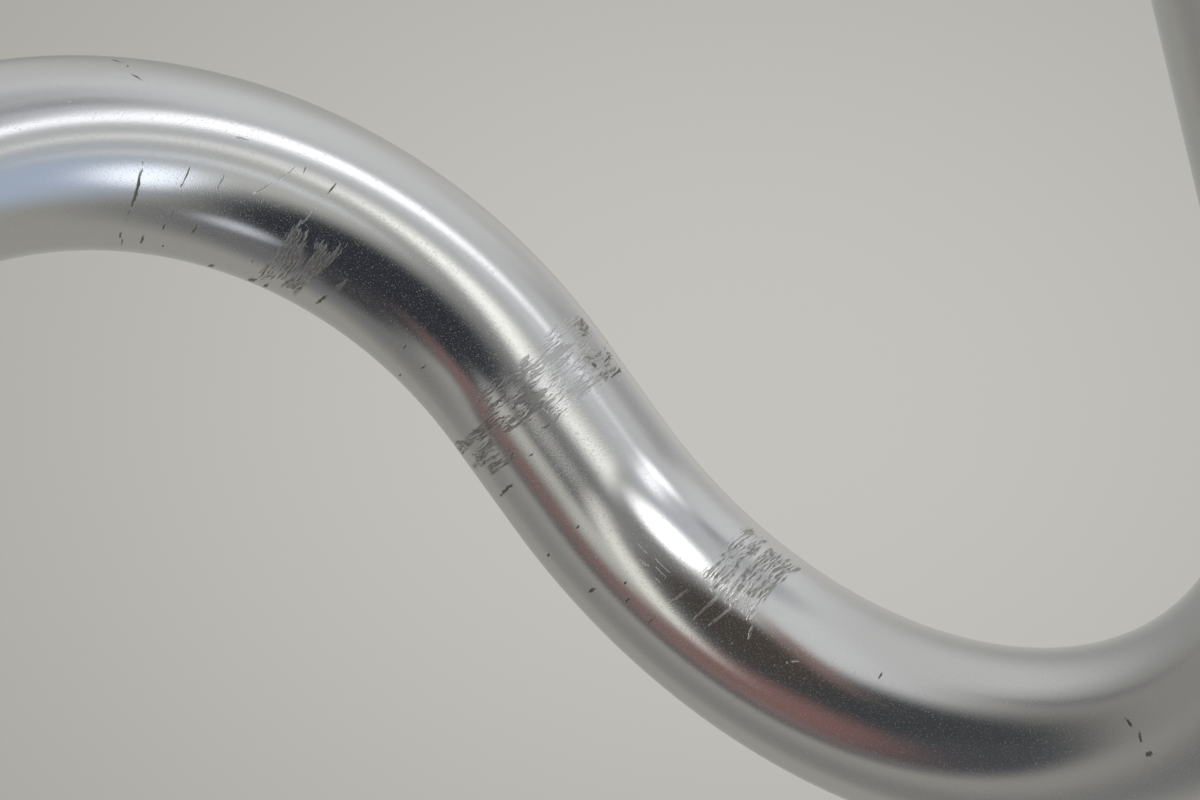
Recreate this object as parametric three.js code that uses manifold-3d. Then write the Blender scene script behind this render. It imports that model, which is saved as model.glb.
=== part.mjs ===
// A bare drop handlebar for a road bicycle: one bent aluminium tube with a sleeve pressed on its
// middle for the stem, and an expander plug screwed tight in each open end.
//
// Units are millimetres. The origin is the centre of the stem clamp. +X is the rider's right,
// +Y is forwards and +Z is up, with the lower grips level.

import * as THREE from "three";
import { mergeVertices } from "three/addons/utils/BufferGeometryUtils.js";
import Module from "manifold-3d";

const degrees = Math.PI / 180;

// The tube
const TUBE_RADIUS = 11.9; // 23.8 mm, the size that brake lever clamps fit
const TUBE_WALL = 1.9;
const END_CENTRES = 400; // between the two open ends, centre to centre
const SHOULDER_RADIUS = 64; // the bend from the top of the bar into the ramp
const RAMP_LENGTH = 13.2; // the straight between the shoulder and the hook
const RAMP_SLOPE = 26.6 * degrees; // how far the shoulder and the ramp dip forwards
const HOOK_RADIUS = 60.8;
const HOOK_TURN = 153.4 * degrees; // leaves the lower grip level
const HOOK_FLARE = 5.1 * degrees; // the hook leans outwards below the ramp
const GRIP_LENGTH = 86; // the straight at the end of the bar

// How finely the tube is faceted
const TUBE_SIDES = 20;
const BEND_STEP = 7.7 * degrees;
const STRAIGHT_STEPS = 2;

// The sleeve under the stem
const SLEEVE_RADIUS = 13; // 26.0 mm clamp diameter
const SLEEVE_LENGTH = 84;
const SLEEVE_BEVEL = 0.5;
const GROOVE = { count: 2, pitch: 2.6, inset: 3.4, halfWidth: 0.6, depth: 0.35 }; // near each end

// The expander plugs. Heights are along the plug's axis from the end face of the tube, outwards.
const GAP = 0.3; // between pieces that touch
const ROUND_SIDES = 24;
const BORE_RADIUS = TUBE_RADIUS - TUBE_WALL;
const PLUG_RADIUS = BORE_RADIUS - 2 * GAP;
const SCREW = { radius: 2.5, length: 35, chamfer: 0.6 };
const HEAD = { radius: 4.3, height: 2.4, chamfer: 0.6, hexagon: 3, socketDepth: 1.6 };
const WASHER = { radius: 4.5, thickness: 0.6 };
const CAP = { radius: 12.5, face: 4.3, faceRadius: 9.6, edge: 0.4, inner: -4 };
const RECESS = { radius: 4.8, floor: 0.3 };
const EXPANDER = { end: -24, coneStart: -13, coneRadius: 7.4, slotDepth: 13, slotWidth: 1.4 };
const WEDGE = { start: -16.2, shoulder: -25.4, end: -31, slack: 0.36 };
const NUT = { acrossFlats: 8, height: 4 };
const HOLE_RADIUS = SCREW.radius + GAP;
const WASHER_BOTTOM = RECESS.floor + GAP;
const HEAD_BOTTOM = WASHER_BOTTOM + WASHER.thickness + GAP;

const SATIN_ALUMINIUM = { color: 0xc4c6c8, roughness: 0.28, metalness: 1 };
const POLISHED_ALUMINIUM = { color: 0xcfd1d3, roughness: 0.18, metalness: 1 };
const BLACK_NYLON = { color: 0x17181a, roughness: 0.5, metalness: 0 };
const BLACK_RUBBER = { color: 0x1c1c1c, roughness: 0.8, metalness: 0 };
const WHITE_NYLON = { color: 0xd8d6cc, roughness: 0.5, metalness: 0 };
const ZINC_STEEL = { color: 0xb4b6b8, roughness: 0.35, metalness: 1 };

const wasm = await Module();
wasm.setup();

// ---- solids ----

function solidOf(geometry) {
  const bare = geometry.index ? geometry.toNonIndexed() : geometry.clone();
  bare.deleteAttribute("normal");
  bare.deleteAttribute("uv");
  const merged = mergeVertices(bare, 1e-4);
  return new wasm.Manifold(
    new wasm.Mesh({
      numProp: 3,
      vertProperties: merged.attributes.position.array,
      triVerts: new Uint32Array(merged.index.array),
    }),
  );
}

function geometryOf(solid) {
  const { vertProperties, triVerts } = solid.getMesh();
  const geometry = new THREE.BufferGeometry();
  geometry.setAttribute("position", new THREE.BufferAttribute(vertProperties, 3));
  geometry.setIndex(new THREE.BufferAttribute(triVerts, 1));
  geometry.computeVertexNormals();
  return geometry;
}

const cut = (body, ...tools) =>
  geometryOf(tools.reduce((solid, tool) => solid.subtract(solidOf(tool)), solidOf(body)));

function named(name, geometry, finish) {
  const mesh = new THREE.Mesh(geometry, new THREE.MeshStandardMaterial(finish));
  mesh.name = name;
  return mesh;
}

// A turned piece about +Y. The profile is [radius, height] pairs, anticlockwise, and closes on itself.
function turned(profile) {
  const points = [...profile, profile[0]].map(([radius, height]) => new THREE.Vector2(radius, height));
  return new THREE.LatheGeometry(points, ROUND_SIDES);
}

// A straight rod about +Y, from one height to another.
function rod(radius, from, to, sides = ROUND_SIDES) {
  return new THREE.CylinderGeometry(radius, radius, to - from, sides).translate(0, (from + to) / 2, 0);
}

const hexagonRadius = (acrossFlats) => acrossFlats / Math.sqrt(3);

// ---- the bar's centre line ----

function straight(start, tangent, length) {
  return {
    steps: STRAIGHT_STEPS,
    point: (u) => start.clone().addScaledVector(tangent, u * length),
    tangent: () => tangent.clone(),
  };
}

function bend(start, tangent, towards, radius, turn) {
  return {
    steps: Math.round(turn / BEND_STEP),
    point: (u) =>
      start
        .clone()
        .addScaledVector(tangent, radius * Math.sin(u * turn))
        .addScaledVector(towards, radius * (1 - Math.cos(u * turn))),
    tangent: (u) =>
      tangent
        .clone()
        .multiplyScalar(Math.cos(u * turn))
        .addScaledVector(towards, Math.sin(u * turn)),
  };
}

// The sections of one half, from the middle of the bar out to its end.
// side is 1 on the right and -1 on the left.
function halfBar(side) {
  const out = new THREE.Vector3(side, 0, 0);
  const ramp = new THREE.Vector3(0, Math.cos(RAMP_SLOPE), -Math.sin(RAMP_SLOPE));
  const below = new THREE.Vector3(0, -Math.sin(RAMP_SLOPE), -Math.cos(RAMP_SLOPE));
  const hookTowards = below
    .clone()
    .multiplyScalar(Math.cos(HOOK_FLARE))
    .addScaledVector(out, Math.sin(HOOK_FLARE));

  const outwardsInHook = HOOK_RADIUS * (1 - Math.cos(HOOK_TURN)) * Math.sin(HOOK_FLARE);
  const outwardsInGrip = GRIP_LENGTH * Math.sin(HOOK_TURN) * Math.sin(HOOK_FLARE);
  const topLength = END_CENTRES / 2 - outwardsInGrip - outwardsInHook - SHOULDER_RADIUS;

  const sections = [straight(new THREE.Vector3(), out, topLength)];
  const follow = (make, ...shape) => {
    const last = sections.at(-1);
    sections.push(make(last.point(1), last.tangent(1), ...shape));
  };
  follow(bend, ramp, SHOULDER_RADIUS, Math.PI / 2);
  follow(straight, RAMP_LENGTH);
  follow(bend, hookTowards, HOOK_RADIUS, HOOK_TURN);
  follow(straight, GRIP_LENGTH);
  return sections;
}

function reversed({ steps, point, tangent }) {
  return { steps, point: (u) => point(1 - u), tangent: (u) => tangent(1 - u).negate() };
}

// The whole centre line. Its parameter runs by steps and not by length, so that the bends get most of them.
class CentreLine extends THREE.Curve {
  constructor(sections) {
    super();
    this.sections = sections;
    this.steps = sections.reduce((sum, section) => sum + section.steps, 0);
  }

  locate(t) {
    let step = t * this.steps;
    for (const section of this.sections) {
      if (step <= section.steps + 1e-9) return [section, step / section.steps];
      step -= section.steps;
    }
    return [this.sections.at(-1), 1];
  }

  getPoint(t, target = new THREE.Vector3()) {
    const [section, u] = this.locate(t);
    return target.copy(section.point(u));
  }

  getTangent(t, target = new THREE.Vector3()) {
    const [section, u] = this.locate(t);
    return target.copy(section.tangent(u));
  }

  getUtoTmapping(u) {
    return u;
  }
}

// ---- the pieces ----

function barTube(rightHalf, leftHalf) {
  const path = new CentreLine([...rightHalf.map(reversed).reverse(), ...leftHalf]);
  const section = new THREE.Shape().absarc(0, 0, TUBE_RADIUS, 0, 2 * Math.PI);
  section.holes.push(new THREE.Path().absarc(0, 0, BORE_RADIUS, 0, 2 * Math.PI, true));
  const geometry = new THREE.ExtrudeGeometry(section, {
    steps: path.steps,
    curveSegments: TUBE_SIDES / 2,
    extrudePath: path,
    bevelEnabled: false,
  });
  return named("bar_tube", geometry, SATIN_ALUMINIUM);
}

// One end of the sleeve's outside, from its end face inwards, as [radius, height] pairs.
function sleeveEnd() {
  const half = SLEEVE_LENGTH / 2;
  const outline = [
    [SLEEVE_RADIUS - SLEEVE_BEVEL, half],
    [SLEEVE_RADIUS, half - SLEEVE_BEVEL],
  ];
  for (let i = 0; i < GROOVE.count; i++) {
    const middle = half - GROOVE.inset - i * GROOVE.pitch;
    outline.push(
      [SLEEVE_RADIUS, middle + GROOVE.halfWidth],
      [SLEEVE_RADIUS - GROOVE.depth, middle],
      [SLEEVE_RADIUS, middle - GROOVE.halfWidth],
    );
  }
  return outline;
}

function centreSleeve() {
  const inner = TUBE_RADIUS + GAP;
  const right = [[inner, SLEEVE_LENGTH / 2], ...sleeveEnd()];
  const left = right.map(([radius, height]) => [radius, -height]);
  const mesh = named("centre_sleeve", turned([...left, ...right.reverse()]), POLISHED_ALUMINIUM);
  mesh.rotation.z = Math.PI / 2;
  return mesh;
}

function plugCap() {
  return turned([
    [HOLE_RADIUS, CAP.inner],
    [PLUG_RADIUS, CAP.inner],
    [PLUG_RADIUS, GAP],
    [CAP.radius - CAP.edge, GAP],
    [CAP.radius, GAP + CAP.edge],
    [CAP.radius, CAP.face / 2],
    [CAP.radius - 2 * CAP.edge, CAP.face - 2 * CAP.edge],
    [CAP.faceRadius, CAP.face],
    [RECESS.radius, CAP.face],
    [RECESS.radius, RECESS.floor],
    [HOLE_RADIUS, RECESS.floor],
  ]);
}

function plugWasher() {
  const top = WASHER_BOTTOM + WASHER.thickness;
  return turned([
    [HOLE_RADIUS, WASHER_BOTTOM],
    [WASHER.radius, WASHER_BOTTOM],
    [WASHER.radius, top],
    [HOLE_RADIUS, top],
  ]);
}

function plugScrew() {
  const tip = HEAD_BOTTOM - SCREW.length;
  const top = HEAD_BOTTOM + HEAD.height;
  const screw = turned([
    [0, tip],
    [SCREW.radius - SCREW.chamfer, tip],
    [SCREW.radius, tip + SCREW.chamfer],
    [SCREW.radius, HEAD_BOTTOM],
    [HEAD.radius, HEAD_BOTTOM],
    [HEAD.radius, top - HEAD.chamfer],
    [HEAD.radius - HEAD.chamfer, top],
    [0, top],
  ]);
  return cut(screw, rod(hexagonRadius(HEAD.hexagon), top - HEAD.socketDepth, top + 1, 6));
}

// A rubber sleeve, split part of the way so that the wedge can spread its four fingers.
function plugExpander() {
  const bore = HOLE_RADIUS + GAP;
  const sleeve = turned([
    [bore, EXPANDER.coneStart],
    [EXPANDER.coneRadius, EXPANDER.end],
    [PLUG_RADIUS, EXPANDER.end],
    [PLUG_RADIUS, CAP.inner - GAP],
    [bore, CAP.inner - GAP],
  ]);
  const slot = new THREE.BoxGeometry(2.5 * PLUG_RADIUS, 2 * EXPANDER.slotDepth, EXPANDER.slotWidth);
  slot.translate(0, EXPANDER.end, 0);
  return cut(sleeve, slot, slot.clone().rotateY(Math.PI / 2));
}

// The wedge follows the expander's cone with some slack. A pocket in its back holds the nut.
function plugWedge() {
  const widening = EXPANDER.coneRadius - HOLE_RADIUS - GAP;
  const slope = widening / (EXPANDER.coneStart - EXPANDER.end);
  const radiusAt = (height) =>
    HOLE_RADIUS + GAP + slope * (EXPANDER.coneStart - height) - WEDGE.slack;
  const cone = turned([
    [HOLE_RADIUS, WEDGE.end],
    [radiusAt(WEDGE.shoulder), WEDGE.end],
    [radiusAt(WEDGE.shoulder), WEDGE.shoulder],
    [radiusAt(WEDGE.start), WEDGE.start],
    [HOLE_RADIUS, WEDGE.start],
  ]);
  const pocketRadius = hexagonRadius(NUT.acrossFlats + 2 * GAP);
  return cut(cone, rod(pocketRadius, WEDGE.end - 1, WEDGE.end + NUT.height + GAP, 6));
}

function plugNut() {
  const hexagon = rod(hexagonRadius(NUT.acrossFlats), WEDGE.end, WEDGE.end + NUT.height, 6);
  return cut(hexagon, rod(HOLE_RADIUS, WEDGE.end - 1, WEDGE.end + NUT.height + 1));
}

// One plug, in a group that stands on the end face of the tube and points out of it.
function endPlug(prefix, half) {
  const grip = half.at(-1);
  const plug = new THREE.Group();
  plug.position.copy(grip.point(1));
  plug.quaternion.setFromUnitVectors(new THREE.Vector3(0, 1, 0), grip.tangent(1));
  plug.add(
    named(`${prefix}_plug_cap`, plugCap(), BLACK_NYLON),
    named(`${prefix}_plug_washer`, plugWasher(), ZINC_STEEL),
    named(`${prefix}_plug_screw`, plugScrew(), ZINC_STEEL),
    named(`${prefix}_plug_expander`, plugExpander(), BLACK_RUBBER),
    named(`${prefix}_plug_wedge`, plugWedge(), WHITE_NYLON),
    named(`${prefix}_plug_nut`, plugNut(), ZINC_STEEL),
  );
  return plug;
}

const rightHalf = halfBar(1);
const leftHalf = halfBar(-1);
const handlebar = new THREE.Group();
handlebar.add(
  barTube(rightHalf, leftHalf),
  centreSleeve(),
  endPlug("right", rightHalf),
  endPlug("left", leftHalf),
);

export default handlebar;
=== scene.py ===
"""A drop handlebar: a bare bent tube of satin aluminium, worn where levers and tape were clamped.

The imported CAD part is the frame. Its faceted pieces are replaced here by smooth ones, worked out from the
same driving dimensions, and each one rides on the body that its CAD node belongs to.

Lengths of the object are in metres. Places on the tube are given on its unrolled surface: millimetres along
the tube from its middle, negative on the left half, and degrees round it from its top.
"""

import math

import bmesh
import bpy
from mathutils import Euler, Matrix, Vector


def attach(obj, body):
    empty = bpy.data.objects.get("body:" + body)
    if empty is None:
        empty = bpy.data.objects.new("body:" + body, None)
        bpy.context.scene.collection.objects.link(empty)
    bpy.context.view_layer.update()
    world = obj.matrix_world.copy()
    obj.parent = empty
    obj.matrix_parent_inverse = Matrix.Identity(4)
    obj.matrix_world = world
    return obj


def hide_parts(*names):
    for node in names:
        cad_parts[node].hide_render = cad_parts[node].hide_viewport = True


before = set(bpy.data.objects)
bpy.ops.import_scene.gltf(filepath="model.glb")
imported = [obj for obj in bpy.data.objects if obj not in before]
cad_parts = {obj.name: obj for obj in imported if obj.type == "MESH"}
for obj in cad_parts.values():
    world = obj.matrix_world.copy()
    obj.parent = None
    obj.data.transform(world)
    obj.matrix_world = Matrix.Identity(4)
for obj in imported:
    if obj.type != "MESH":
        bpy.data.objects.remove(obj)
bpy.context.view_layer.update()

MM = 0.001

# ---- driving dimensions, the same as the CAD part's ----

TUBE_RADIUS = 11.9 * MM
BORE_RADIUS = 10.0 * MM
END_CENTRES = 400 * MM
SHOULDER_RADIUS = 64 * MM
RAMP_LENGTH = 13.2 * MM
RAMP_SLOPE = math.radians(26.6)
HOOK_RADIUS = 60.8 * MM
HOOK_TURN = math.radians(153.4)
HOOK_FLARE = math.radians(5.1)
GRIP_LENGTH = 86 * MM
END_CHAMFER = 0.25 * MM

# The sleeve and the end plugs, in millimetres. Heights run along a plug's own axis, out of the tube's end.
SLEEVE = {"radius": 13, "bore": 11.96, "half": 42, "bevel": 0.5}
GROOVE = {"count": 2, "pitch": 2.6, "inset": 3.4, "half_width": 0.6, "depth": 0.35}
CAP = {"radius": 12.5, "face_radius": 9.6, "back": 0.3, "face": 4.3, "inner": -4, "plug_radius": 9.4}
RECESS = {"radius": 4.8, "floor": 0.3}
HOLE_RADIUS = 2.8
WASHER = {"radius": 4.5, "bottom": 0.6, "top": 1.2}
CAP_RIM = {"inset": 0.8, "drop": 0.7}
SCREW = {"radius": 2.5, "root": 2.1, "tip": -33.5, "pitch": 0.8, "shank_end": -6, "tip_chamfer": 0.8}
# The thread's ridge, before it is clipped to 1: its height in the middle, and how much it falls per pitch.
THREAD = {"crest": 1.35, "flank": 3.2}
HEAD = {"radius": 4.3, "bottom": 1.5, "top": 3.9, "socket_flats": 3, "socket_depth": 1.6}
HEAD_UNDERSIDE = {"fillet": 0.15, "neck": 0.2}
HEAD_EDGE = [(0.6, 0), (0.25, 0.1), (0.05, 0.35), (0, 0.6)]  # in from the side, down from the top
EXPANDER = {"radius": 9.4, "bore": 3.1, "top": -4.3, "cone_start": -13, "cone_radius": 7.4, "end": -24}
SLOT = {"half_width": 0.7, "top": -11}
WEDGE = {"start": -16.2, "start_radius": 4.0, "shoulder": -25.4, "radius": 7.58, "end": -31}
NUT = {"flats": 8, "pocket_flats": 8.6, "pocket_floor": -26.7, "bottom": -31, "top": -27, "bore": 2.65}
NUT_EDGE = [(3.85, 0), (4.1, 0.12), (4.35, 0.26), (4.62, 0.45)]  # radius, in from the nearer face
# The chamfers at the mouths of the hexagonal socket and pocket and of the nut's bore.
SOCKET_MOUTH = {"corner": 0.2, "flats": 0.3, "depth": 0.15}
POCKET_MOUTH = {"corner": 0.2, "flats": 0.35, "depth": 0.2}
NUT_MOUTH = {"radius": 0.35, "depth": 0.3}
FILLET = {"sleeve": 0.25, "cap": 0.4, "washer": 0.12, "expander": 0.3, "wedge": 0.3}

# ---- how finely the meshes are divided ----

TUBE_SIDES = 96
FINE_STEP = math.radians(1.6)  # along the bends, on the outside of the tube
COARSE_STEP = math.radians(4)  # and in its bore
STRAIGHT_STEP = 6 * MM
ROUND_SIDES = 96
THREAD_SIDES = 24
ROWS_PER_TURN = 12
QUARTER_STEPS = 14
FILLET_STEPS = 3
CAP_FILLET_STEPS = 5
FLOOR_STEPS = 12
LONGEST_FILLET = 0.45  # as a share of the shorter side next to it

FLOOR_HEIGHT = -2.4  # low enough for the bar to be looked at from below
FLOOR_SIZE = 16.0

# ---- the camera, where the photographer stood: below the bar and inside its right half ----

CAMERA_PLACE = Vector((-0.0495, -0.1078, -0.3385))
CAMERA_TURN = Euler((math.radians(173.18), math.radians(43.72), math.radians(25.18)), "XYZ")
CAMERA_LENS = 98.6
CAMERA_SENSOR = 36

# ---- the studio: soft panels all round, in degrees right and up of the way back to the camera ----

STUDIO_BASE = (170, 170, 165)
STUDIO_STRENGTH = 1.13
# name, right, up, half width, half height, tilt, softness, colour, brightness
PANELS = [
    ("ceiling", 0, 92, 58, 46, 0, 0.7, (192, 193, 194), 1),
    ("ceiling far", 35, 146, 60, 20, 0, 0.6, (182, 180, 176), 1),
    ("left wall", -118, 50, 45, 60, 0, 0.6, (136, 137, 134), 1),
    ("ceiling left", -48, 100, 38, 30, 0, 0.6, (178, 178, 177), 1),
    ("ceiling right", 104, 76, 16, 10, 0, 0.7, (168, 168, 167), 1),
    ("table", 0, -114, 95, 52, 0, 0.4, (141, 140, 134), 1),
    ("dim left", -106, -6, 20, 44, 0, 0.6, (128, 126, 122), 1),
    ("dark line", -107, 39, 22, 2.4, 45, 0.7, (102, 102, 105), 1),
    ("dim table", -66, -82, 16, 12, 0, 0.7, (122, 121, 117), 1),
    ("dim low", -4, -86, 38, 20, 8, 0.6, (100, 100, 101), 1),
    ("photographer", -2, 4, 40, 26, 25, 0.5, (120, 120, 119), 1),
    ("halo", 36, 42, 26, 16, 20, 0.7, (170, 172, 176), 1),
    ("cool right side", 66, -21, 16, 27, -5, 0.7, (158, 169, 187), 1),
    ("dim upper right", 89, 62, 16, 5, 30, 0.7, (148, 148, 148), 1),
    ("dim above lamp", 38, 65, 5.5, 5.5, 0, 0.6, (126, 129, 134), 1),
    ("dim wedge", 23, 74, 12, 13, 0, 0.7, (158, 159, 161), 1),
    ("dark below", -2, -42, 37, 33, -8, 0.3, (45, 47, 53), 1),
    ("dark low", -19, -72, 15, 11, 20, 0.6, (58, 58, 60), 1),
    ("dark left", -62, 14, 40, 29, 5, 0.3, (58, 60, 62), 1),
    ("brown left", -32, 19, 20, 21, 0, 0.35, (65, 60, 56), 1),
    ("dark low left", -79, -15, 16, 16, 0, 0.4, (64, 66, 69), 1),
    ("dark strip", -59, -43, 16, 5, -5, 0.6, (86, 85, 87), 1),
    ("red above", -34, 42, 18, 5, 15, 0.7, (118, 98, 94), 1),
    ("red left", -60, -20, 12.5, 16, 0, 0.6, (117, 88, 85), 1),
    ("red below", -42, -42, 20, 7, -25, 0.6, (112, 92, 89), 1),
    ("left streak", -30, -13.5, 22, 4.4, 15, 0.4, (215, 214, 206), 1.15),
    ("left streak core", -14, -10, 9, 3.2, 35, 0.9, (212, 210, 203), 1),
    ("left streak end", -33, -26, 10, 6, 15, 0.7, (178, 177, 171), 1),
    ("right streak", 30, 11, 21, 4, 20, 0.6, (250, 250, 244), 1.15),
    ("right streak end", 50, 18, 9, 3, 5, 0.6, (212, 213, 212), 1),
    ("faint streak", 44, -4, 15, 3, 10, 0.6, (200, 202, 205), 1),
    ("key lamp", 10.5, 30, 11, 13, 0, 0.5, (255, 255, 255), 1.7),
    ("upper lamp", 53, 46, 4.5, 6.5, 0, 0.6, (252, 253, 255), 1.45),
    ("upper lamp end", 43, 38, 8, 4.2, 36, 0.6, (250, 252, 255), 1.2),
    ("cool lamp", 50, -31, 6, 12, 0, 0.6, (240, 246, 255), 1.2),
    ("low lamp", 17, -72, 7, 5, 0, 0.7, (190, 193, 200), 1),
]
# The camera sees this plain backdrop instead: a pale middle behind the bar, darker further out.
BACKDROP_NEAR = (195, 194, 189)
BACKDROP_FAR = (163, 162, 157)
BACKDROP_PLACE = (177.4, -2.4)
BACKDROP_SIZE = (12, 9)
BACKDROP_SOFTNESS = 0.9

# ---- wear on the tube ----
# Each mark is: along (mm), around (degrees), length round the tube (mm), width (mm), slant (degrees).

DARK_STROKES = [
    (157.5, 199, 8.3, 0.5, -7),
    (157.4, 231, 1.6, 0.45, 15),
    (158.4, 240, 2.8, 0.25, 25),
    (161.2, 235, 2.6, 0.5, 14),
    (163.3, 221, 1.3, 0.45, 0),
    (164.2, 187, 3.0, 0.2, -15),
    (165.0, 240, 0.9, 0.35, 15),
    (167.9, 220, 2.0, 0.5, 0),
    (174.4, 256, 2.4, 0.9, 5),
    (178.7, 232, 0.9, 0.3, 20),
    (181.3, 257, 3.0, 1.3, 5),
    (183.6, 256, 3.0, 0.7, 10),
    (179.9, 164, 1.3, 0.25, 0),
    (184.2, 168, 2.8, 0.2, -17),
    (191.4, 239, 3.6, 0.8, -4),
    (206.0, 229, 1.4, 0.3, 0),
    (210.1, 231, 1.5, 0.35, 5),
    (209.0, 256, 1.6, 0.4, 0),
    (225.3, 125, 3.6, 0.5, 2),
    (227.5, 126, 4.6, 0.45, 2),
    (224.9, 141, 0.8, 0.8, 0),
    (231.3, 243, 4.6, 0.55, 5),
    (229.4, 209, 0.9, 0.25, 0),
    (241.0, 248, 1.5, 0.35, 0),
    (240.5, 213, 0.7, 0.3, 0),
    (247.9, 237, 1.7, 0.45, -8),
    (250.5, 214, 0.5, 0.4, 0),
    (252.3, 221.5, 1.2, 0.4, -10),
    (256.4, 222, 2.6, 0.35, -10),
    (290.6, 176, 1.1, 0.45, 0),
    (157.4, 104, 1.6, 0.5, 30),
    (158.2, 112, 0.9, 0.45, -20),
    (158.6, 124, 1.6, 0.4, 40),
    (336.4, 211, 1.6, 0.55, 30),
    (337.2, 221, 1.6, 0.6, -30),
    (337.0, 231, 0.7, 1.2, 0),
    (-163.0, 150, 3.0, 0.5, 6),
    (-226.0, 205, 4.0, 0.6, -5),
    (-261.0, 170, 2.4, 0.8, 8),
    (-300.5, 120, 1.8, 0.4, -12),
]
PALE_STROKES = [
    (169.3, 185, 2.1, 0.25, -12),
    (175.2, 183, 3.0, 0.35, -45),
    (177.7, 171, 3.8, 0.3, -35),
    (182.6, 190, 3.8, 0.35, -24),
    (163.5, 210, 2.2, 0.3, 0),
    (192.1, 220, 3.0, 0.8, -5),
    (257.5, 197, 3.2, 0.35, -12),
    (261.7, 190, 5.2, 0.5, -9),
    (264.2, 188, 5.8, 0.5, -16),
    (269.2, 187, 2.3, 0.4, 18),
    (252.8, 189.5, 0.16, 4.0, 0),
    (248.8, 191, 0.14, 2.6, 0),
    (253.2, 193, 0.14, 2.2, 0),
    (250.7, 196, 0.3, 1.6, 10),
    (253.8, 198, 0.14, 1.6, 0),
    (276.5, 191, 0.35, 0.4, 0),
    (275.0, 196, 0.25, 0.3, 0),
    (267.8, 198.5, 0.35, 0.4, 0),
    (270.1, 198, 0.25, 0.3, 0),
    (277.4, 188, 0.3, 1.3, 25),
    (171.0, 157.5, 0.3, 2.0, 0),
    (-181.0, 188, 4.2, 0.4, 20),
    (-248.0, 160, 5.5, 0.5, 12),
]
PATCHES = [
    (182.2, 224, 10.5, 2.4, -3),
    (184.4, 221, 7.0, 2.0, -3),
    (186.9, 224, 8.6, 2.6, -6),
    (188.4, 209, 6.0, 0.9, -10),
    (225.6, 130, 5.0, 3.6, 0),
    (220.6, 127, 3.0, 2.2, 0),
    (223.5, 240, 11.0, 1.7, 2),
    (225.6, 238, 5.6, 1.7, 0),
    (227.6, 232, 5.4, 1.8, 2),
    (226.6, 252, 4.4, 1.2, 4),
    (259.4, 150, 10.5, 3.7, 3),
    (263.6, 141, 6.0, 3.0, 0),
    (266.0, 148, 9.0, 3.8, 3),
    (263.2, 160, 4.6, 1.6, 0),
    (224.0, 60, 16.0, 6.0, 0),
    (223.5, 318, 12.0, 7.0, 0),
    (-224.5, 228, 12.0, 5.0, -4),
    (-263.0, 168, 9.0, 7.0, -5),
    (-184.0, 215, 8.0, 5.0, 6),
]
# The same for patches rubbed bright.
RUBBED_PATCHES = [
    (223.0, 156, 13.0, 8.2, 0),
    (222.0, 191, 9.5, 6.4, 0),
    (264.0, 174, 2.6, 8.0, 0),
    (-222.0, 130, 14.0, 8.0, 3),
]
# Each stretch of the tube, between two of these places, has a material of its own with the marks that are
# on it, because one material can't hold them all.
STRETCH_EDGES = (-500, -240, -150, 140, 172, 200, 236, 255, 300, 500)
FAR_AWAY = 1000.0  # further than any mark, in units of a mark's own size
GRAIN_HEIGHT = 0.09
WEAR_DEPTH = -0.8
TUBE_RELIEF = 0.06  # what 1 stands for in the two above, in millimetres

# ---- node helpers ----


class Nodes:
    """Adds nodes to one tree. An input that is given a socket is linked, and any other value is set."""

    def __init__(self, tree):
        self.tree = tree

    def add(self, kind, *inputs, named_inputs=None, **settings):
        node = self.tree.nodes.new(kind)
        for key, value in settings.items():
            setattr(node, key, value)
        for socket, value in zip(node.inputs, inputs):
            self.put(socket, value)
        for key, value in (named_inputs or {}).items():
            self.put(node.inputs[key], value)
        return node

    def put(self, socket, value):
        if isinstance(value, bpy.types.NodeSocket):
            self.tree.links.new(value, socket)
        elif value is not None:
            socket.default_value = value

    def colour(self, value):
        socket = self.add("ShaderNodeRGB").outputs[0]
        socket.default_value = value
        return socket

    def math(self, operation, *inputs):
        return self.add("ShaderNodeMath", *inputs, operation=operation).outputs[0]

    def vector(self, operation, *inputs):
        node = self.add("ShaderNodeVectorMath", *inputs, operation=operation)
        scalar = operation in ("DOT_PRODUCT", "LENGTH", "DISTANCE")
        return node.outputs["Value" if scalar else "Vector"]

    def scaled(self, vector, factor):
        node = self.add("ShaderNodeVectorMath", vector, operation="SCALE")
        self.put(node.inputs["Scale"], factor)
        return node.outputs["Vector"]

    def stretched(self, vector, x, y, z):
        return self.vector("MULTIPLY", vector, (x, y, z))

    def noise(self, vector, scale=1.0, detail=2.0, roughness=0.5, distortion=0.0):
        values = {
            "Vector": vector,
            "Scale": scale,
            "Detail": detail,
            "Roughness": roughness,
            "Distortion": distortion,
        }
        return self.add("ShaderNodeTexNoise", named_inputs=values).outputs["Fac"]

    def fade(self, value, start, end, low=0.0, high=1.0):
        """Goes smoothly from low at start to high at end. End may be below start."""
        if end < start:
            start, end, low, high = end, start, high, low
        node = self.add("ShaderNodeMapRange", value, start, end, low, high, interpolation_type="SMOOTHSTEP")
        return node.outputs["Result"]

    def mix(self, factor, a, b):
        node = self.add("ShaderNodeMix", data_type="FLOAT")
        self.put(node.inputs["Factor"], factor)
        self.put(node.inputs["A"], a)
        self.put(node.inputs["B"], b)
        return node.outputs["Result"]

    def mix_colour(self, factor, a, b):
        node = self.add("ShaderNodeMix", data_type="RGBA")
        self.put(node.inputs[0], factor)
        self.put(node.inputs[6], a)
        self.put(node.inputs[7], b)
        return node.outputs[2]


def linear(rgb, gain=1.0):
    """A colour of 0 to 255 as the light it stands for, times gain."""

    def decoded(value):
        value /= 255
        return value / 12.92 if value <= 0.04045 else ((value + 0.055) / 1.055) ** 2.4

    return (*(decoded(value) * gain for value in rgb), 1.0)


# ---- camera and studio ----


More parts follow.
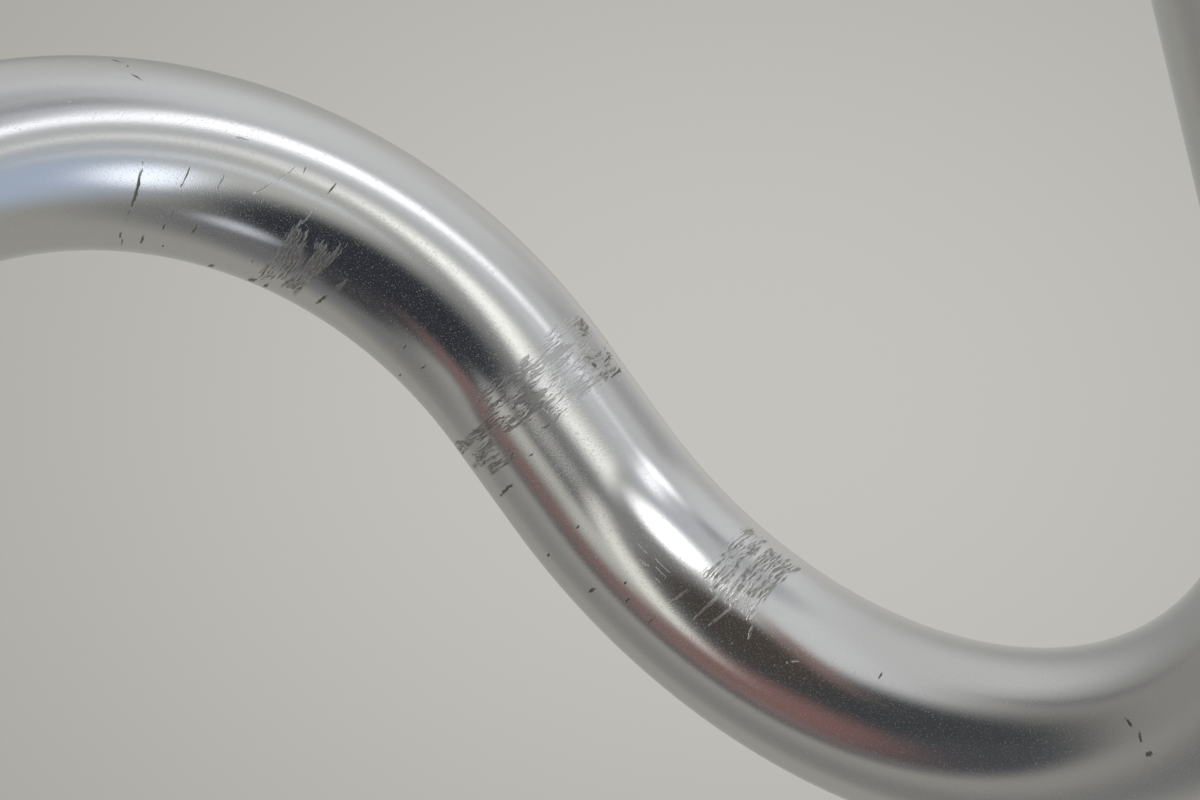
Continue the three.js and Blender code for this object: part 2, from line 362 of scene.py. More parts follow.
def make_camera():
    data = bpy.data.cameras.new("camera")
    data.lens = CAMERA_LENS
    data.sensor_width = CAMERA_SENSOR
    data.clip_start = 0.01
    camera = bpy.data.objects.new("camera", data)
    camera.location = CAMERA_PLACE
    camera.rotation_euler = CAMERA_TURN
    bpy.context.collection.objects.link(camera)
    bpy.context.scene.camera = camera


def studio_axes(right, up, tilt):
    """The direction of a panel's centre, and of its own right and up, from its place in degrees."""
    turn = CAMERA_TURN.to_matrix()
    camera_right, camera_up, back = turn.col[0], turn.col[1], turn.col[2]
    away = math.radians(math.hypot(right, up))
    bearing = math.atan2(up, right)
    outwards = camera_right * math.cos(bearing) + camera_up * math.sin(bearing)
    sideways = camera_up * math.cos(bearing) - camera_right * math.sin(bearing)
    centre = back * math.cos(away) + outwards * math.sin(away)
    radial = outwards * math.cos(away) - back * math.sin(away)
    own_right = radial * math.cos(bearing) - sideways * math.sin(bearing)
    own_up = radial * math.sin(bearing) + sideways * math.cos(bearing)
    tilt = math.radians(tilt)
    return (
        centre,
        own_right * math.cos(tilt) + own_up * math.sin(tilt),
        own_up * math.cos(tilt) - own_right * math.sin(tilt),
    )


def panel_group():
    """Lays one soft elliptical panel over a background, for light from a direction.

    Across and up are measured as the tangent of half the angle from the panel's centre.
    """
    tree = bpy.data.node_groups.new("soft panel", "ShaderNodeTree")
    face = tree.interface
    for name, kind in (
        ("Direction", "NodeSocketVector"),
        ("Centre", "NodeSocketVector"),
        ("Across", "NodeSocketVector"),
        ("Up", "NodeSocketVector"),
        ("Softness", "NodeSocketFloat"),
        ("Colour", "NodeSocketColor"),
        ("Background", "NodeSocketColor"),
    ):
        face.new_socket(name, in_out="INPUT", socket_type=kind)
    face.new_socket("Colour", in_out="OUTPUT", socket_type="NodeSocketColor")
    nodes = Nodes(tree)
    given = nodes.add("NodeGroupInput").outputs
    towards = nodes.vector("DOT_PRODUCT", given["Direction"], given["Centre"])
    depth = nodes.math("ADD", towards, 1.0001)  # a little over 1, so that it is never 0
    across = nodes.math("DIVIDE", nodes.vector("DOT_PRODUCT", given["Direction"], given["Across"]), depth)
    up = nodes.math("DIVIDE", nodes.vector("DOT_PRODUCT", given["Direction"], given["Up"]), depth)
    distance = nodes.vector("LENGTH", nodes.add("ShaderNodeCombineXYZ", across, up).outputs[0])
    inner = nodes.math("SUBTRACT", 1, given["Softness"])
    outer = nodes.math("ADD", 1, given["Softness"])
    cover = nodes.add("ShaderNodeMapRange", distance, inner, outer, 1, 0, interpolation_type="SMOOTHSTEP")
    result = nodes.mix_colour(cover.outputs[0], given["Background"], given["Colour"])
    nodes.add("NodeGroupOutput", result)
    return tree


def panel(nodes, group, direction, background, place, size, tilt, softness, colour):
    centre, across, up = studio_axes(*place, tilt)
    width, height = (math.tan(math.radians(angle / 2)) for angle in size)
    values = {
        "Direction": direction,
        "Centre": centre,
        "Across": across / width,
        "Up": up / height,
        "Softness": softness,
        "Colour": colour,
        "Background": background,
    }
    return nodes.add("ShaderNodeGroup", node_tree=group, named_inputs=values).outputs["Colour"]


def make_studio():
    world = bpy.data.worlds.new("studio")
    world.use_nodes = True
    world.node_tree.nodes.clear()
    bpy.context.scene.world = world
    nodes = Nodes(world.node_tree)
    direction = nodes.add("ShaderNodeTexCoord").outputs["Generated"]
    group = panel_group()

    light = nodes.colour(linear(STUDIO_BASE))
    for _, right, up, half_width, half_height, tilt, softness, colour, brightness in PANELS:
        size = (half_width, half_height)
        glow = linear(colour, brightness)
        light = panel(nodes, group, direction, light, (right, up), size, tilt, softness, glow)

    backdrop = nodes.colour(linear(BACKDROP_FAR))
    shape = (BACKDROP_PLACE, BACKDROP_SIZE, 0, BACKDROP_SOFTNESS)
    backdrop = panel(nodes, group, direction, backdrop, *shape, linear(BACKDROP_NEAR))

    seen = nodes.add("ShaderNodeBackground", backdrop, 1.0).outputs[0]
    shining = nodes.add("ShaderNodeBackground", light, STUDIO_STRENGTH).outputs[0]
    is_camera = nodes.add("ShaderNodeLightPath").outputs["Is Camera Ray"]
    both = nodes.add("ShaderNodeMixShader", is_camera, shining, seen).outputs[0]
    nodes.add("ShaderNodeOutputWorld", both)


# ---- the bar's centre line ----


class Station:
    """A place on the centre line: how far along it is, its point, and the tube's top and side there."""

    def __init__(self, along, point, turn):
        self.along = along
        self.point = point
        self.turn = turn

    def on_surface(self, radius, angle):
        outwards = Vector((0, -math.sin(angle), math.cos(angle)))
        return self.point + self.turn @ outwards * radius


def straight(start, length, step):
    tangent = start.turn @ Vector((1, 0, 0))
    count = max(1, round(length / step))
    for i in range(1, count + 1):
        distance = length * i / count
        yield Station(start.along + distance, start.point + tangent * distance, start.turn)


def bend(start, towards, radius, turn, step):
    tangent = start.turn @ Vector((1, 0, 0))
    axis = tangent.cross(towards)
    count = round(turn / step)
    for i in range(1, count + 1):
        angle = turn * i / count
        point = start.point + tangent * radius * math.sin(angle) + towards * radius * (1 - math.cos(angle))
        rotation = Matrix.Rotation(angle, 3, axis) @ start.turn
        yield Station(start.along + radius * angle, point, rotation)


def right_half(step):
    """The stations of the right half, from the middle of the bar to its end."""
    ramp = Vector((0, math.cos(RAMP_SLOPE), -math.sin(RAMP_SLOPE)))
    below = Vector((0, -math.sin(RAMP_SLOPE), -math.cos(RAMP_SLOPE)))
    hook_towards = below * math.cos(HOOK_FLARE) + Vector((math.sin(HOOK_FLARE), 0, 0))
    in_hook = HOOK_RADIUS * (1 - math.cos(HOOK_TURN)) * math.sin(HOOK_FLARE)
    in_grip = GRIP_LENGTH * math.sin(HOOK_TURN) * math.sin(HOOK_FLARE)
    top_length = END_CENTRES / 2 - in_grip - in_hook - SHOULDER_RADIUS

    stations = [Station(0, Vector(), Matrix.Identity(3))]
    stations += straight(stations[-1], top_length, STRAIGHT_STEP)
    stations += bend(stations[-1], ramp, SHOULDER_RADIUS, math.pi / 2, step)
    stations += straight(stations[-1], RAMP_LENGTH, STRAIGHT_STEP)
    stations += bend(stations[-1], hook_towards, HOOK_RADIUS, HOOK_TURN, step)
    stations += straight(stations[-1], GRIP_LENGTH, STRAIGHT_STEP)
    return stations


def mirrored(station):
    """The same place on the left half. Its top and side are mirrored too, so angles stay the same."""
    flip = Matrix.Diagonal((-1, 1, 1))
    point = flip @ station.point
    return Station(-station.along, point, flip @ station.turn @ flip)


def whole_bar(step):
    right = right_half(step)
    left = [mirrored(station) for station in reversed(right[1:])]
    return left + right


# ---- meshes ----


def add_piece(name, vertices, faces, material, smooth_angle=math.radians(35)):
    mesh = bpy.data.meshes.new(name)
    mesh.from_pydata(vertices, [], faces)
    shell = bmesh.new()
    shell.from_mesh(mesh)
    bmesh.ops.recalc_face_normals(shell, faces=shell.faces)
    shell.to_mesh(mesh)
    shell.free()
    mesh.materials.append(material)
    mesh.validate()
    piece = bpy.data.objects.new(name, mesh)
    bpy.context.collection.objects.link(piece)
    mesh.shade_smooth()
    mesh.set_sharp_from_angle(angle=smooth_angle)
    piece.visible_glossy = False  # the metal mirrors the soft studio only
    return piece


def grid_faces(rows, columns):
    """Quads between rows and columns that both close on themselves."""
    faces = []
    for i in range(rows):
        for j in range(columns):
            here = i * columns
            after = (i + 1) % rows * columns
            beside = (j + 1) % columns
            faces.append((here + j, here + beside, after + beside, after + j))
    return faces


def flat_ends(count, columns):
    """One face over the first row and one over the last, of count vertices in all."""
    return [tuple(range(columns)), tuple(range(count - columns, count))]


def angles_round(sides):
    return [2 * math.pi * j / sides for j in range(sides)]


def tube_outline():
    """The tube's wall as (station, radius): outside from left to right, and back in the bore."""
    outside = [(station, TUBE_RADIUS) for station in whole_bar(FINE_STEP)]
    bore = [(station, BORE_RADIUS) for station in whole_bar(COARSE_STEP)]
    left_end, right_end = outside[0][0], outside[-1][0]

    def rim(end, radius, chamfer):
        inwards = -math.copysign(END_CHAMFER, end.along)
        tangent = end.turn @ Vector((1, 0, 0))
        pulled = Station(end.along + inwards, end.point + tangent * inwards, end.turn)
        return [(end, radius + chamfer), (pulled, radius)]

    return [
        *rim(left_end, TUBE_RADIUS, -END_CHAMFER),
        *outside[1:-1],
        *reversed(rim(right_end, TUBE_RADIUS, -END_CHAMFER)),
        *rim(right_end, BORE_RADIUS, END_CHAMFER),
        *reversed(bore[1:-1]),
        *reversed(rim(left_end, BORE_RADIUS, END_CHAMFER)),
    ]


def make_tube(materials):
    outline = tube_outline()
    angles = angles_round(TUBE_SIDES)
    vertices = [station.on_surface(radius, angle) for station, radius in outline for angle in angles]
    piece = add_piece("bar", vertices, grid_faces(len(outline), TUBE_SIDES), materials[0])
    for material in materials[1:]:
        piece.data.materials.append(material)
    for face in piece.data.polygons:
        along = outline[face.index // TUBE_SIDES][0].along / MM
        face.material_index = sum(along >= edge for edge in STRETCH_EDGES[1:-1])
    unbent = piece.data.attributes.new("unbent", "FLOAT_VECTOR", "POINT")
    places = [
        value
        for station, radius in outline
        for angle in angles
        for value in (radius * math.cos(angle), radius * math.sin(angle), station.along)
    ]
    unbent.data.foreach_set("vector", places)
    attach(piece, "bar")
    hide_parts("bar_tube")


def rounded(corners, size, steps=FILLET_STEPS):
    """A closed outline of (radius, height) with each corner turned into a small arc."""
    points = [Vector(corner) for corner in corners]
    outline = []
    for i, corner in enumerate(points):
        before = points[i - 1] - corner
        after = points[(i + 1) % len(points)] - corner
        longest = LONGEST_FILLET * min(before.length, after.length)
        reach = min(size / math.tan(before.angle(after) / 2), longest)
        start = corner + before.normalized() * reach
        end = corner + after.normalized() * reach
        for k in range(steps + 1):
            share = k / steps
            outline.append(start * (1 - share) ** 2 + corner * 2 * share * (1 - share) + end * share**2)
    return [tuple(point) for point in outline]


def rounded_inside(corners, size):
    """The same for an open outline, without its first and last corners."""
    per_corner = FILLET_STEPS + 1
    return rounded(corners, size)[per_corner:-per_corner]


def reach_at(row, angle):
    """The distance from the axis at an angle, for a row of (radius, height) or (radius, height, flats)."""
    if len(row) == 2:
        return row[0]
    radius, _, flats = row
    from_flat = angle % math.radians(60) - math.radians(30)
    return min(radius, flats / 2 / math.cos(from_flat))


def across_corners(flats):
    """The radius to the corners of a hexagon, from its size across flats."""
    return flats / math.sqrt(3)


def around_axis(radius, height, angle):
    return Vector((radius * math.sin(angle), height, radius * math.cos(angle))) * MM


def turned_vertices(rows, angles):
    return [around_axis(reach_at(row, angle), row[1], angle) for row in rows for angle in angles]


def turned_piece(name, rows, material):
    """A piece with a closed outline, turned about its own Y axis."""
    vertices = turned_vertices(rows, angles_round(ROUND_SIDES))
    return add_piece(name, vertices, grid_faces(len(rows), ROUND_SIDES), material)


def make_sleeve(material):
    radius, half, bevel = SLEEVE["radius"], SLEEVE["half"], SLEEVE["bevel"]
    corners = [(radius - bevel, half), (radius, half - bevel)]
    for i in range(GROOVE["count"]):
        middle = half - GROOVE["inset"] - i * GROOVE["pitch"]
        corners.append((radius, middle + GROOVE["half_width"]))
        corners.append((radius - GROOVE["depth"], middle))
        corners.append((radius, middle - GROOVE["half_width"]))
    outer = corners + [(place, -height) for place, height in reversed(corners)]
    outline = rounded(outer + [(SLEEVE["bore"], -half), (SLEEVE["bore"], half)], FILLET["sleeve"])
    piece = turned_piece("sleeve", outline, material)
    piece.matrix_world = Matrix.Rotation(-math.pi / 2, 4, "Z")
    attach(piece, "bar")
    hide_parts("centre_sleeve")


def cap_rows():
    corners = [
        (HOLE_RADIUS, CAP["inner"]),
        (CAP["plug_radius"], CAP["inner"]),
        (CAP["plug_radius"], CAP["back"]),
        (CAP["radius"], CAP["back"]),
        (CAP["radius"], (CAP["back"] + CAP["face"]) / 2),
        (CAP["radius"] - CAP_RIM["inset"], CAP["face"] - CAP_RIM["drop"]),
        (CAP["face_radius"], CAP["face"]),
        (RECESS["radius"], CAP["face"]),
        (RECESS["radius"], RECESS["floor"]),
        (HOLE_RADIUS, RECESS["floor"]),
    ]
    return rounded(corners, FILLET["cap"], CAP_FILLET_STEPS)


def washer_rows():
    corners = [
        (HOLE_RADIUS, WASHER["bottom"]),
        (WASHER["radius"], WASHER["bottom"]),
        (WASHER["radius"], WASHER["top"]),
        (HOLE_RADIUS, WASHER["top"]),
    ]
    return rounded(corners, FILLET["washer"])


def thread_rows():
    """From the shank's end to the tip: height, the thread's share of its depth, and the tip's chamfer."""
    length = SCREW["shank_end"] - SCREW["tip"]
    count = round(length / SCREW["pitch"] * ROWS_PER_TURN)
    rows = []
    for i in range(count + 1):
        height = SCREW["shank_end"] - length * i / count
        depth = min(1, i / ROWS_PER_TURN / 2)
        chamfer = max(0, SCREW["tip_chamfer"] - (height - SCREW["tip"]))
        rows.append((height, depth, chamfer))
    return rows


def head_rows():
    """The screw's head, from the floor of its socket over the top and down to the shank."""
    radius, top, bottom, flats = HEAD["radius"], HEAD["top"], HEAD["bottom"], HEAD["socket_flats"]
    fillet = HEAD_UNDERSIDE["fillet"]
    corner = across_corners(flats)
    return [
        (corner, top - HEAD["socket_depth"], flats),
        (corner, top - SOCKET_MOUTH["depth"], flats),
        (corner + SOCKET_MOUTH["corner"], top, flats + SOCKET_MOUTH["flats"]),
        *[(radius - inset, top - drop) for inset, drop in HEAD_EDGE],
        (radius, bottom + fillet),
        (radius - fillet, bottom),
        (SCREW["radius"] + fillet, bottom),
        (SCREW["radius"], bottom - HEAD_UNDERSIDE["neck"]),
    ]


def thread_cut(height, angle, depth):
    """How far the thread is cut in from the screw's radius. It is right-handed."""
    turns = height / SCREW["pitch"] - angle / (2 * math.pi)
    ridge = min(1, max(0, THREAD["crest"] - THREAD["flank"] * abs(turns % 1 - 0.5)))
    return (1 - ridge) * depth * (SCREW["radius"] - SCREW["root"])


def make_screw(name, material):
    """A socket head screw."""
    head = head_rows()
    thread = thread_rows()
    angles = angles_round(THREAD_SIDES)
    vertices = turned_vertices(head, angles)
    for height, depth, chamfer in thread:
        for angle in angles:
            cut = max(thread_cut(height, angle, depth), chamfer)
            vertices.append(around_axis(SCREW["radius"] - cut, height, angle))
    faces = grid_faces(len(head) + len(thread), THREAD_SIDES)[:-THREAD_SIDES]
    faces += flat_ends(len(vertices), THREAD_SIDES)
    return add_piece(name, vertices, faces, material)


def expander_rows():
    """The outline of the expander, and how many of its rows come before the slots."""
    slot_top, top, end = SLOT["top"], EXPANDER["top"], EXPANDER["end"]
    radius, bore = EXPANDER["radius"], EXPANDER["bore"]
    inner, outer = (bore, slot_top), (radius, slot_top)
    solid = rounded_inside([inner, (bore, top), (radius, top), outer], FILLET["expander"])
    mouth = [outer, (radius, end), (EXPANDER["cone_radius"], end), (bore, EXPANDER["cone_start"]), inner]
    split = rounded_inside(mouth, FILLET["expander"])
    return [inner, *solid, outer, *split], len(solid) + 1


def quarter_angles(radius):
    """The angles of one row, in four quarters with a slot's width left out between them."""
    edge = math.asin(SLOT["half_width"] / radius)
    return [
        quarter * math.pi / 2 + edge + (math.pi / 2 - 2 * edge) * k / QUARTER_STEPS
        for quarter in range(4)
        for k in range(QUARTER_STEPS + 1)
    ]


def make_expander(name, material):
    """A rubber sleeve with a conical mouth, split from its inner end by two crossed slots."""
    rows, slot_start = expander_rows()
    vertices = [around_axis(*row, angle) for row in rows for angle in quarter_angles(row[0])]
    in_quarter = QUARTER_STEPS + 1
    columns = 4 * in_quarter
    faces = []
    for index, face in enumerate(grid_faces(len(rows), columns)):
        row, column = divmod(index, columns)
        in_slot = column % in_quarter == QUARTER_STEPS
        if not (in_slot and row >= slot_start):
            faces.append(face)
    outer = slot_start * columns
    wall_rows = [*range(slot_start, len(rows)), 0]
    for left in range(QUARTER_STEPS, columns, in_quarter):
        right = (left + 1) % columns
        faces.append(tuple(row * columns + left for row in wall_rows))
        faces.append(tuple(row * columns + right for row in wall_rows))
        faces.append((outer + left, outer + right, right, left))
    return add_piece(name, vertices, faces, material)


def wedge_rows():
    """The wedge's cone and foot, and the pocket for the nut in its foot."""
    flats, floor, end = NUT["pocket_flats"], NUT["pocket_floor"], WEDGE["end"]
    corner = across_corners(flats)
    mouth = corner + POCKET_MOUTH["corner"]
    outline = [
        (mouth, end),
        (WEDGE["radius"], end),
        (WEDGE["radius"], WEDGE["shoulder"]),
        (WEDGE["start_radius"], WEDGE["start"]),
        (HOLE_RADIUS, WEDGE["start"]),
        (HOLE_RADIUS, floor),
    ]
    pocket = [
        (corner, floor, flats),
        (corner, end + POCKET_MOUTH["depth"], flats),
        (mouth, end, flats + POCKET_MOUTH["flats"]),
    ]
    return [*rounded_inside(outline, FILLET["wedge"]), (HOLE_RADIUS, floor), *pocket]


def nut_rows():
    flats, bottom, top, bore = NUT["flats"], NUT["bottom"], NUT["top"], NUT["bore"]
    mouth = bore + NUT_MOUTH["radius"]
    depth = NUT_MOUTH["depth"]
    outside = [(reach, bottom + inwards, flats) for reach, inwards in NUT_EDGE]
    outside += [(reach, top - inwards, flats) for reach, inwards in reversed(NUT_EDGE)]
    return [(mouth, bottom), *outside, (mouth, top), (bore, top - depth), (bore, bottom + depth)]


def plug_place(side):
    """The place of the plug on one side. Its own Y axis points out of the tube's end."""
    end = right_half(COARSE_STEP)[-1]
    outwards = end.turn @ Vector((1, 0, 0))
    point = end.point.copy()
    if side == "left":
        outwards.x, point.x = -outwards.x, -point.x
    turn = Vector((0, 1, 0)).rotation_difference(outwards)
    return Matrix.Translation(point) @ turn.to_matrix().to_4x4()


def make_plug(side, materials):
    pieces = {
        "plug_cap": (turned_piece(f"{side}_cap", cap_rows(), materials["nylon"]), "plug"),
        "plug_washer": (turned_piece(f"{side}_washer", washer_rows(), materials["zinc"]), "plug"),
        "plug_expander": (make_expander(f"{side}_expander", materials["rubber"]), "plug"),
        "plug_screw": (make_screw(f"{side}_socket_screw", materials["zinc"]), "screw"),
        "plug_wedge": (turned_piece(f"{side}_wedge_cone", wedge_rows(), materials["white"]), "wedge"),
        "plug_nut": (turned_piece(f"{side}_hex_nut", nut_rows(), materials["zinc"]), "wedge"),
    }
    for slot, (piece, body) in pieces.items():
        piece.matrix_world = plug_place(side)
        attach(piece, f"{side}_{body}")
        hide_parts(f"{side}_{slot}")


def make_floor(material):
    places = [FLOOR_SIZE * (i / FLOOR_STEPS - 0.5) for i in range(FLOOR_STEPS + 1)]
    vertices = [(x, y, FLOOR_HEIGHT) for y in places for x in places]
    across = len(places)
    faces = [
        (j * across + i, j * across + i + 1, (j + 1) * across + i + 1, (j + 1) * across + i)
        for j in range(FLOOR_STEPS)
        for i in range(FLOOR_STEPS)
    ]
    floor = add_piece("floor", vertices, faces, material)


# ---- materials ----


def new_material(name):
    material = bpy.data.materials.new(name)
    material.use_nodes = True
    material.node_tree.nodes.clear()
    return material, Nodes(material.node_tree)


def unrolled_place(nodes):
    """The place on the unrolled tube, (along, around, 0), and on the tube made straight, in millimetres."""
    unbent = nodes.add("ShaderNodeAttribute", attribute_name="unbent").outputs["Vector"]
    unbent = nodes.scaled(unbent, 1 / MM)
    top, side, along = nodes.add("ShaderNodeSeparateXYZ", unbent).outputs
    opposite = nodes.math("ARCTAN2", nodes.math("MULTIPLY", side, -1), nodes.math("MULTIPLY", top, -1))
    around = nodes.math("MULTIPLY", nodes.math("ADD", opposite, math.pi), TUBE_RADIUS / MM)
    return nodes.add("ShaderNodeCombineXYZ", along, around).outputs[0], unbent


def on_mark(nodes, place, along, around, length, width, slant):
    """The place measured from one mark's centre, with its ends and sides at 1."""
    values = {
        "Vector": place,
        "Location": (along, math.radians(around) * TUBE_RADIUS / MM, 0),
        "Rotation": (0, 0, -math.radians(slant)),
        "Scale": (width / 2, length / 2, 1),
    }
    return nodes.add("ShaderNodeMapping", vector_type="TEXTURE", named_inputs=values).outputs[0]


def nearest_stroke(nodes, place, strokes):
    """0 in the middle of a stroke, 1 at its edge, and more outside."""
    nearest = FAR_AWAY
    for stroke in strokes:
        distance = nodes.vector("LENGTH", on_mark(nodes, place, *stroke))
        nearest = nodes.math("MINIMUM", nearest, distance)
    return nearest


def nearest_patch(nodes, place, patches):
    """The same for patches with straight sides."""
    nearest = FAR_AWAY
    for patch in patches:
        x, y, _ = nodes.add("ShaderNodeSeparateXYZ", on_mark(nodes, place, *patch)).outputs
        distance = nodes.math("MAXIMUM", nodes.math("ABSOLUTE", x), nodes.math("ABSOLUTE", y))
        nearest = nodes.math("MINIMUM", nearest, distance)
    return nearest


def finish(nodes, material, values, height, depth):
    """Joins a height map, depth millimetres deep, and the given values to a new surface."""
    relief = {"Strength": 1.0, "Distance": depth * MM, "Height": height}
    bump = nodes.add("ShaderNodeBump", named_inputs=relief)
    values = {**values, "Normal": bump.outputs[0]}
    surface = nodes.add("ShaderNodeBsdfPrincipled", named_inputs=values)
    nodes.add("ShaderNodeOutputMaterial", surface.outputs[0])
    return material


def worn_strokes(nodes, place, strokes, crumbs, raggedness):
    """1 on the strokes, fading out over edges that the crumbs make ragged."""
    edge = nodes.math("SUBTRACT", 1, nearest_stroke(nodes, place, strokes))
    edge = nodes.math("MULTIPLY_ADD", nodes.math("SUBTRACT", crumbs, 0.5), raggedness, edge)
    return nodes.fade(edge, 0.0, 0.5)


def torn_patches(nodes, place, patches, streaks, marked):
    """1 on the streaks that lie in the patches. More of a patch is covered the higher marked is."""
    inside = nodes.math("SUBTRACT", 1, nearest_patch(nodes, place, patches))
    inside = nodes.math("MINIMUM", nodes.math("MULTIPLY", inside, 2.0), marked)
    edge = nodes.math("MULTIPLY_ADD", nodes.math("SUBTRACT", streaks, 0.5), 3.0, inside)
    return nodes.fade(edge, 0.0, 0.4)


def wear_textures(nodes, place):
    """Streaks that run round the tube in clouds, and crumbs."""
    cloud = nodes.noise(nodes.stretched(place, 0.5, 0.25, 1))
    streaks = nodes.noise(nodes.stretched(place, 3.0, 0.36, 1), detail=3, roughness=0.62, distortion=0.5)
    streaks = nodes.math("MULTIPLY_ADD", nodes.math("SUBTRACT", cloud, 0.5), 0.6, streaks)
    crumbs = nodes.noise(nodes.stretched(place, 3.0, 1.1, 1), detail=3, roughness=0.6)
    return streaks, crumbs


def wobbled(nodes, place):
    """The place shifted along by up to a third of a millimetre, so that no mark is quite straight."""
    wobble = nodes.noise(nodes.stretched(place, 0.9, 0.35, 1), roughness=0.6)
    wobble = nodes.math("MULTIPLY_ADD", wobble, 0.7, -0.35)
    return nodes.vector("ADD", place, nodes.add("ShaderNodeCombineXYZ", wobble).outputs[0])


def wear_and_dirt(nodes, place, start, end):
    """Where one stretch of the tube is worn and where it is dirty, and the streaks in its wear."""

    def within(marks):
        return [mark for mark in marks if start <= mark[0] < end]

    place = wobbled(nodes, place)
    streaks, crumbs = wear_textures(nodes, place)
    dark = worn_strokes(nodes, place, within(DARK_STROKES), crumbs, raggedness=2.0)
    pale = worn_strokes(nodes, place, within(PALE_STROKES), crumbs, raggedness=1.6)
    patch = torn_patches(nodes, place, within(PATCHES), streaks, marked=0.2)
    rubbed = torn_patches(nodes, place, within(RUBBED_PATCHES), streaks, marked=0.1)
    patch_dirt = nodes.math("MULTIPLY", patch, nodes.fade(crumbs, 0.4, 0.58, low=0.1, high=0.8))
    rubbed_dirt = nodes.math("MULTIPLY", rubbed, 0.12)

    wear = nodes.math("MAXIMUM", nodes.math("MAXIMUM", dark, pale), nodes.math("MAXIMUM", patch, rubbed))
    dirt = nodes.math("MAXIMUM", dark, nodes.math("MAXIMUM", patch_dirt, rubbed_dirt))
    return wear, dirt, streaks


def satin_aluminium(start, end):
    """One stretch of the tube: bead-blasted and clear-anodised, with the marks of clamps and knocks."""
    material, nodes = new_material(f"satin aluminium from {start} to {end} mm")
    place, unbent = unrolled_place(nodes)
    wear, dirt, streaks = wear_and_dirt(nodes, place, start, end)

    grain = nodes.noise(unbent, scale=5.0, roughness=0.6)
    flecks = nodes.fade(grain, 0.55, 0.73)
    clean = nodes.mix_colour(grain, (0.82, 0.825, 0.83, 1), (0.93, 0.93, 0.925, 1))
    scuffed = nodes.mix_colour(streaks, (0.6, 0.59, 0.57, 1), (0.9, 0.895, 0.88, 1))
    colour = nodes.mix_colour(wear, clean, scuffed)
    colour = nodes.mix_colour(nodes.math("MULTIPLY", dirt, 0.8), colour, (0.13, 0.12, 0.105, 1))

    height = nodes.math("MULTIPLY", grain, GRAIN_HEIGHT)
    height = nodes.math("MULTIPLY_ADD", nodes.math("MULTIPLY", wear, streaks), WEAR_DEPTH, height)
    dull = nodes.math("MULTIPLY_ADD", flecks, 0.7, dirt)
    values = {
        "Base Color": colour,
        "Metallic": nodes.math("MULTIPLY_ADD", dull, -0.5, 1),
        "Roughness": nodes.mix(wear, nodes.mix(flecks, 0.15, 0.28), 0.4),
    }
    return finish(nodes, material, values, height, TUBE_RELIEF)


def own_place(nodes):
    """The place in a piece's own frame, in millimetres."""
    return nodes.scaled(nodes.add("ShaderNodeTexCoord").outputs["Object"], 1 / MM)


def polished_aluminium():
    """The sleeve: turned and polished, rubbed dull where stems have been clamped."""
    material, nodes = new_material("polished aluminium")
    place = own_place(nodes)
    lines = nodes.noise(nodes.stretched(place, 0.02, 5, 0.02), roughness=0.6)
    smears = nodes.noise(nodes.stretched(place, 0.25, 0.5, 0.25), detail=3, roughness=0.6, distortion=0.6)
    _, along, _ = nodes.add("ShaderNodeSeparateXYZ", place).outputs
    clamped = nodes.fade(nodes.math("ABSOLUTE", along), 26, 22)
    rubbed = nodes.math("MULTIPLY", clamped, nodes.fade(smears, 0.4, 0.66))
    scratches = nodes.noise(nodes.stretched(place, 0.35, 4.5, 0.35), distortion=0.8)
    scratches = nodes.fade(scratches, 0.62, 0.7)
    marks = nodes.math("MULTIPLY", scratches, rubbed)
    colour = nodes.mix_colour(lines, (0.84, 0.845, 0.85, 1), (0.93, 0.93, 0.93, 1))
    colour = nodes.mix_colour(marks, colour, (0.5, 0.49, 0.48, 1))
    roughness = nodes.math("MULTIPLY_ADD", rubbed, 0.16, nodes.math("MULTIPLY_ADD", smears, 0.08, 0.1))
    height = nodes.math("MULTIPLY_ADD", marks, -0.8, lines)
    values = {"Base Color": colour, "Roughness": roughness, "Metallic": 1.0}
    return finish(nodes, material, values, height, depth=0.004)


def moulded_nylon():
    """The caps: black, spark-eroded texture, rubbed smooth and grey in places."""
    material, nodes = new_material("black moulded nylon")
    place = own_place(nodes)
    pits = nodes.noise(place, scale=4.0, detail=3, roughness=0.7)
    handled = nodes.fade(nodes.noise(place, scale=0.22, detail=3, roughness=0.6), 0.45, 0.7)
    scratches = nodes.noise(nodes.stretched(place, 0.5, 0.5, 5), roughness=0.6, distortion=1.2)
    scratches = nodes.fade(scratches, 0.66, 0.74)
    colour = nodes.mix_colour(handled, (0.016, 0.016, 0.017, 1), (0.032, 0.032, 0.034, 1))
    colour = nodes.mix_colour(nodes.math("MULTIPLY", scratches, 0.35), colour, (0.16, 0.16, 0.16, 1))
    roughness = nodes.math("MULTIPLY_ADD", pits, 0.2, nodes.mix(handled, 0.42, 0.28))
    values = {"Base Color": colour, "Roughness": roughness}
    height = nodes.math("MULTIPLY_ADD", scratches, -0.6, pits)
    return finish(nodes, material, values, height, depth=0.03)


def zinc_plate():
    """Screws, nuts and washers: bright zinc with faint blue and straw stains."""
    material, nodes = new_material("zinc plate")
    place = own_place(nodes)
    stains = nodes.noise(place, scale=0.5, detail=3, roughness=0.6, distortion=0.4)
    crystals = nodes.noise(place, scale=6.0, roughness=0.6)
    colour = nodes.mix_colour(nodes.fade(stains, 0.35, 0.65), (0.55, 0.58, 0.63, 1), (0.68, 0.66, 0.6, 1))
    colour = nodes.mix_colour(nodes.fade(crystals, 0.6, 0.8, high=0.35), colour, (0.36, 0.35, 0.34, 1))
    roughness = nodes.math("MULTIPLY_ADD", stains, 0.2, 0.2)
    values = {"Base Color": colour, "Roughness": roughness, "Metallic": 1.0}
    return finish(nodes, material, values, crystals, depth=0.01)


